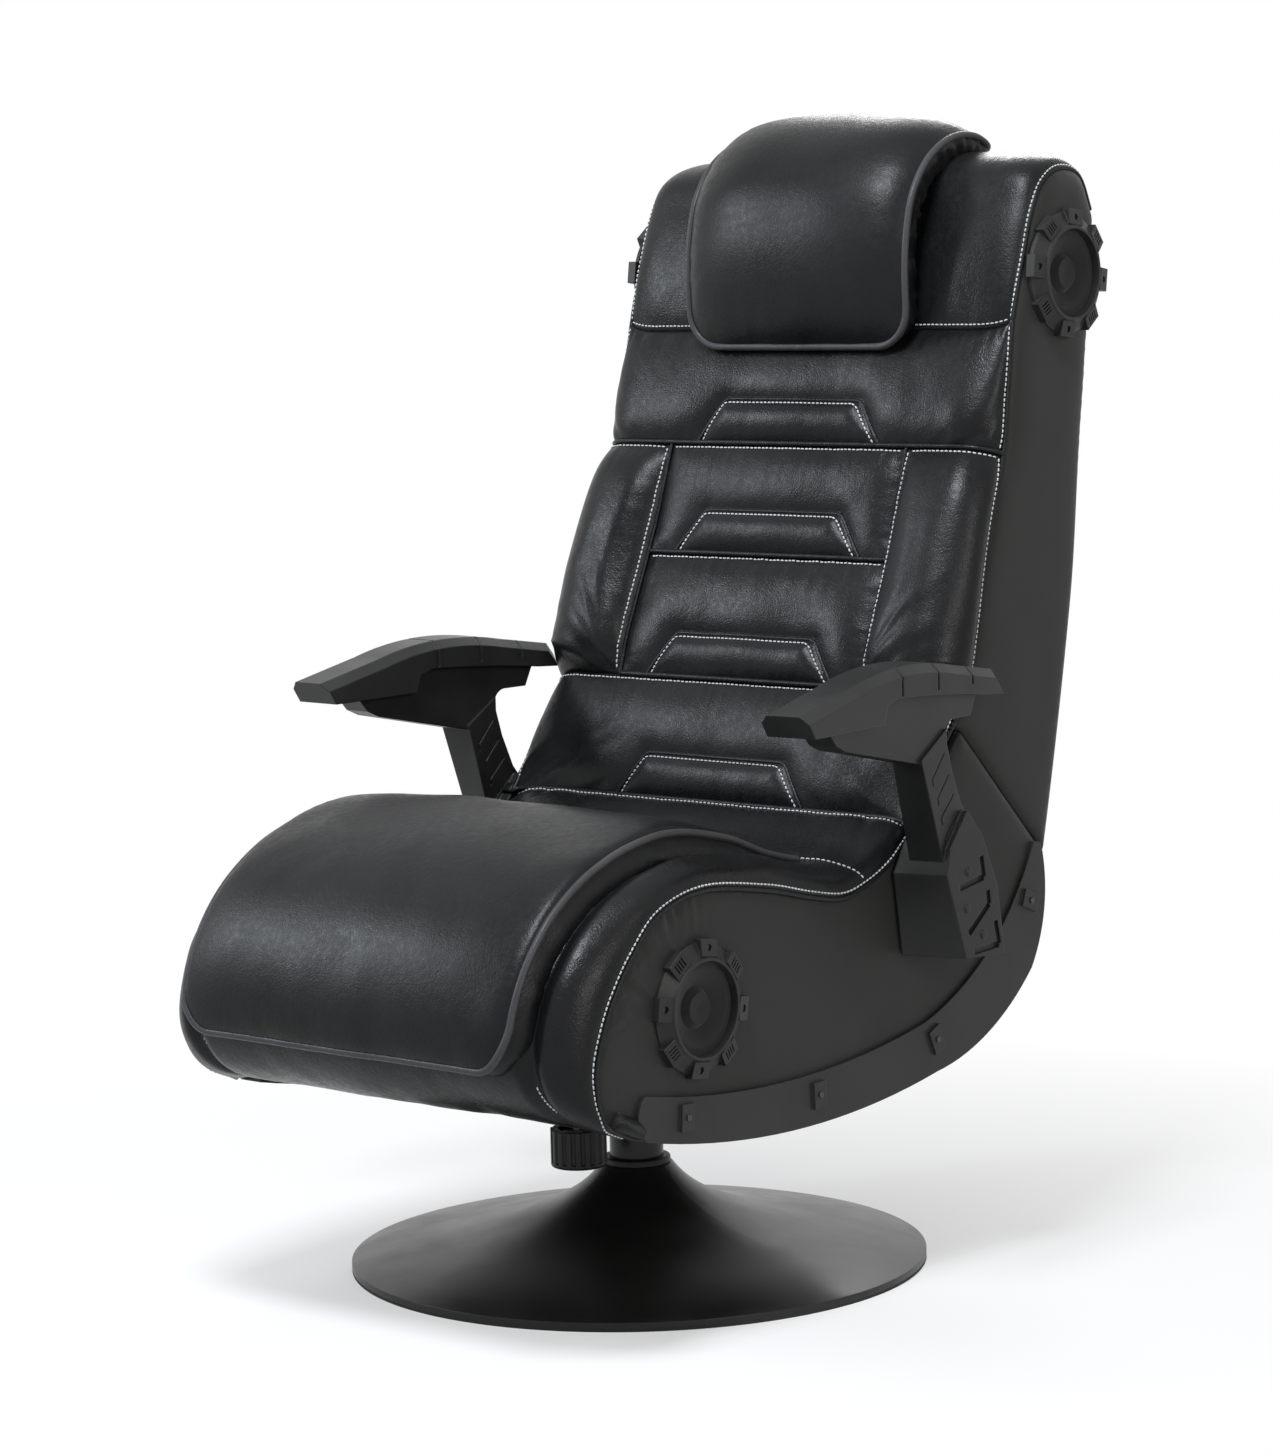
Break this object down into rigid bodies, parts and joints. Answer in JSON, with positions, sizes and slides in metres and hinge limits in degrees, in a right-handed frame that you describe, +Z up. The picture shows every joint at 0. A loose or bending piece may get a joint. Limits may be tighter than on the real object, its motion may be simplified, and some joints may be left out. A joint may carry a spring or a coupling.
{
  "type": "gaming rocker chair",
  "caption": "Swivel gaming rocker chair with a dish pedestal, tilting shell seat, flip-up arms, side speakers, a fold-down padded back and a headrest pillow.",
  "frame": {"origin": "on the floor, at the pedestal's swivel axis", "axes": "+Z up along the swivel axis, the sitter faces -Y, +X to the sitter's left"},
  "size_m": [0.6708, 0.8684, 1.1381],
  "materials": {
    "black_steel": "satin black powder coat",
    "black_plastic": "fine grained black plastic",
    "bearing_plastic": "plain moulded",
    "bright_steel": "zinc plated",
    "spring_steel": "oiled",
    "screw_black": "blackened",
    "board": "raw board",
    "black_leather": "glossy black with soft creases",
    "charcoal_fabric": "matte woven",
    "speaker_cone": "fine mesh over a cone",
    "black_rubber": "matte"
  },
  "bodies": {
    "base": {"base_dish": "black_steel", "base_edge_trim": "black_rubber", "column_tube": "black_steel", "column_collar": "black_plastic", "column_bush": "bearing_plastic"},
    "swivel": {"swivel_spindle": "bright_steel", "swivel_yoke": "black_steel", "tilt_axle": "bright_steel", "tension_spring": "spring_steel"},
    "seat": {"tilt_plate": "black_steel", "plate_bolts": "bright_steel", "seat_base_board": "board", "seat_cross_rails": "board", "seat_side_board_left": "board", "seat_side_board_right": "board", "seat_side_cover_left": "charcoal_fabric", "seat_side_cover_right": "charcoal_fabric", "rocker_trim_left": "black_plastic", "rocker_trim_right": "black_plastic", "underside_cover": "charcoal_fabric", "seat_cushion": "black_leather", "front_pad": "black_leather", "lumbar_pad": "black_leather", "fold_gusset": "black_leather", "fold_hinge_seat": "black_steel", "arm_pivots": "bright_steel", "seat_speaker_ring_left": "black_plastic", "seat_speaker_ring_right": "black_plastic", "seat_speaker_drivers": "speaker_cone", "seat_screws": "screw_black", "control_panel": "black_plastic", "amplifier_box": "black_plastic"},
    "backrest": {"back_side_board_left": "board", "back_side_board_right": "board", "back_side_cover_left": "charcoal_fabric", "back_side_cover_right": "charcoal_fabric", "back_cross_rails": "board", "back_rear_cover": "charcoal_fabric", "fold_hinge_back": "black_steel", "back_pad_lower": "black_leather", "back_pad_upper": "black_leather", "wing_pad_left": "black_leather", "wing_pad_right": "black_leather", "shoulder_pad": "black_leather", "head_pad": "black_leather", "headrest_pillow": "black_leather", "back_speaker_ring_left": "black_plastic", "back_speaker_ring_right": "black_plastic", "back_speaker_drivers": "speaker_cone", "back_screws": "screw_black"},
    "left_arm": {"arm_post_left": "black_plastic", "arm_pad_left": "black_plastic"},
    "right_arm": {"arm_post_right": "black_plastic", "arm_pad_right": "black_plastic"},
    "spring_washer": {"tension_washer": "bright_steel"},
    "tension_control": {"tension_knob": "black_plastic", "tension_screw": "bright_steel"},
    "volume_control": {"volume_knob": "black_plastic"},
    "bass_control": {"bass_knob": "black_plastic"}
  },
  "joints": [
    {"name": "swivel_turn", "type": "hinge", "parent": "base", "child": "swivel", "pos_m": [0, 0, 0.12], "axis": [0, 0, 1], "continuous": true},
    {"name": "seat_tilt", "type": "hinge", "parent": "swivel", "child": "seat", "pos_m": [0, 0, 0.188], "axis": [-1, 0, 0], "range_deg": [0, 15], "stiffness_Nm_per_rad": 220, "springref_deg": -14.32, "deforming": ["tension_spring"]},
    {"name": "back_fold", "type": "hinge", "parent": "seat", "child": "backrest", "pos_m": [0, 0.207, 0.548], "axis": [1, 0, 0], "range_deg": [0, 90], "deforming": ["fold_gusset"]},
    {"name": "left_arm_flip", "type": "hinge", "parent": "seat", "child": "left_arm", "pos_m": [0.29, 0.14, 0.356], "axis": [-1, 0, 0], "range_deg": [0, 80]},
    {"name": "right_arm_flip", "type": "hinge", "parent": "seat", "child": "right_arm", "pos_m": [-0.29, 0.14, 0.356], "axis": [-1, 0, 0], "range_deg": [0, 80]},
    {"name": "tension_travel", "type": "slide", "parent": "seat", "child": "spring_washer", "axis": [0, 0, 1], "range_m": [0, 0.0046]},
    {"name": "tension_turn", "type": "hinge", "parent": "spring_washer", "child": "tension_control", "pos_m": [0, -0.088, 0.12], "axis": [0, 0, 1], "range_deg": [0, 1080]},
    {"name": "volume_turn", "type": "hinge", "parent": "seat", "child": "volume_control", "pos_m": [-0.265, -0.074, 0.292], "axis": [-1, 0, 0], "range_deg": [0, 300]},
    {"name": "bass_turn", "type": "hinge", "parent": "seat", "child": "bass_control", "pos_m": [-0.265, -0.03, 0.292], "axis": [-1, 0, 0], "range_deg": [0, 300]}
  ],
  "couplings": [
    {"joint": "tension_travel", "follows": "tension_turn", "m_per_rad": 0.00023873}
  ]
}
